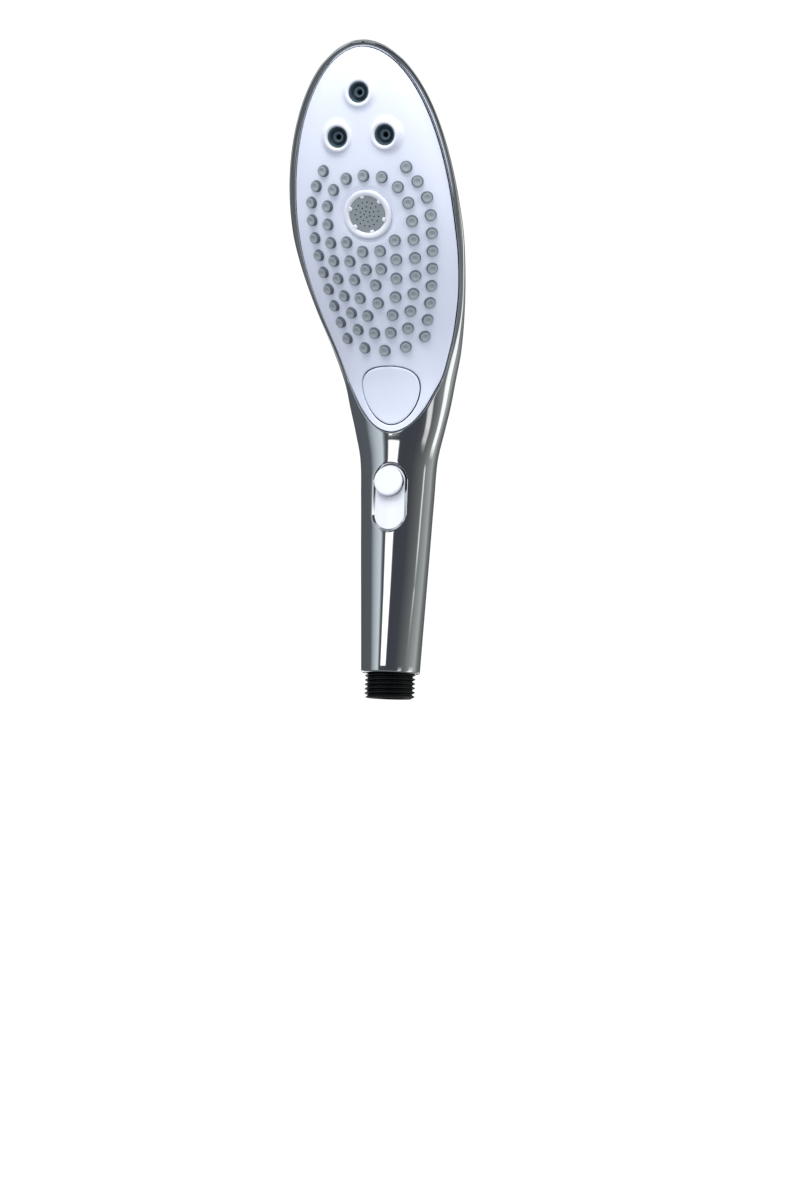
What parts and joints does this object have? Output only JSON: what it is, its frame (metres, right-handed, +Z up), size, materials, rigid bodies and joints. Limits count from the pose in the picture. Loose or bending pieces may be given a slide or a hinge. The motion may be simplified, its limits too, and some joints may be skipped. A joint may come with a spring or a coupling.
{
  "type": "handheld shower head",
  "caption": "Handheld shower head: tilted oval spray head with nozzles and jets, select button, flow slider and threaded inlet.",
  "frame": {"origin": "centre of the inlet connector's lower end face, on the handle's axis", "axes": "+Z up the handle from the inlet to the head, -Y towards the spray side, +X to the right seen from the spray side"},
  "size_m": [0.073, 0.0838, 0.2586],
  "materials": {
    "chrome_shell": "polished chrome plating on plastic",
    "white_plastic": "satin gloss cool white",
    "grey_silicone": "matte grey silicone",
    "black_rubber": "matte",
    "natural_plastic": "moulded, unpainted",
    "slate_plastic": "fine matte slate",
    "black_plastic": "semi-matte black",
    "regulator_plastic": "moulded green",
    "spring_steel": "drawn wire",
    "screw_steel": "zinc plated"
  },
  "bodies": {
    "handset": {"housing_shell": "chrome_shell", "spray_faceplate": "white_plastic", "nozzle_mat": "grey_silicone", "face_gasket": "black_rubber", "distribution_plate": "natural_plastic", "chassis_screw_1": "screw_steel", "chassis_screw_2": "screw_steel", "chassis_screw_3": "screw_steel", "chassis_screw_4": "screw_steel", "jet_insert_top": "slate_plastic", "jet_insert_left": "slate_plastic", "jet_insert_right": "slate_plastic", "centre_spray_ring": "white_plastic", "centre_spray_disc": "grey_silicone", "button_guide": "natural_plastic", "button_spring": "spring_steel", "diverter_housing": "natural_plastic", "diverter_seal_ring": "black_rubber", "inlet_connector": "black_plastic", "connector_oring": "black_rubber", "inlet_filter": "white_plastic", "flow_regulator": "regulator_plastic", "regulator_oring": "black_rubber", "valve_body": "natural_plastic", "waterway_tube": "natural_plastic"},
    "select": {"select_button": "white_plastic"},
    "pawl": {"shift_pawl": "natural_plastic"},
    "diverter": {"diverter_disc": "natural_plastic"},
    "flow_slider": {"slider_knob": "white_plastic", "slider_plate": "white_plastic", "throttle_link": "natural_plastic", "throttle_spool": "white_plastic", "spool_oring_lower": "black_rubber", "spool_oring_upper": "black_rubber"}
  },
  "joints": [
    {"name": "select_press", "type": "slide", "parent": "handset", "child": "select", "axis": [0, 0.9369, 0.3497], "range_m": [0, 0.0026], "stiffness_N_per_m": 800, "springref_m": -0.0015, "deforming": ["button_spring"]},
    {"name": "pawl_shift", "type": "slide", "parent": "handset", "child": "pawl", "axis": [0, -0.4818, 0.8763], "range_m": [0, 0.0026]},
    {"name": "diverter_turn", "type": "hinge", "parent": "handset", "child": "diverter", "pos_m": [0, -0.04946, 0.185], "axis": [0, -0.8763, -0.4818], "range_deg": [0, 30]},
    {"name": "flow_slide", "type": "slide", "parent": "handset", "child": "flow_slider", "axis": [0, 0, 1], "range_m": [-0.0122, 0]}
  ],
  "couplings": [
    {"joint": "pawl_shift", "follows": "select_press", "ratio": 1},
    {"joint": "diverter_turn", "follows": "select_press", "rad_per_m": 201.3}
  ]
}
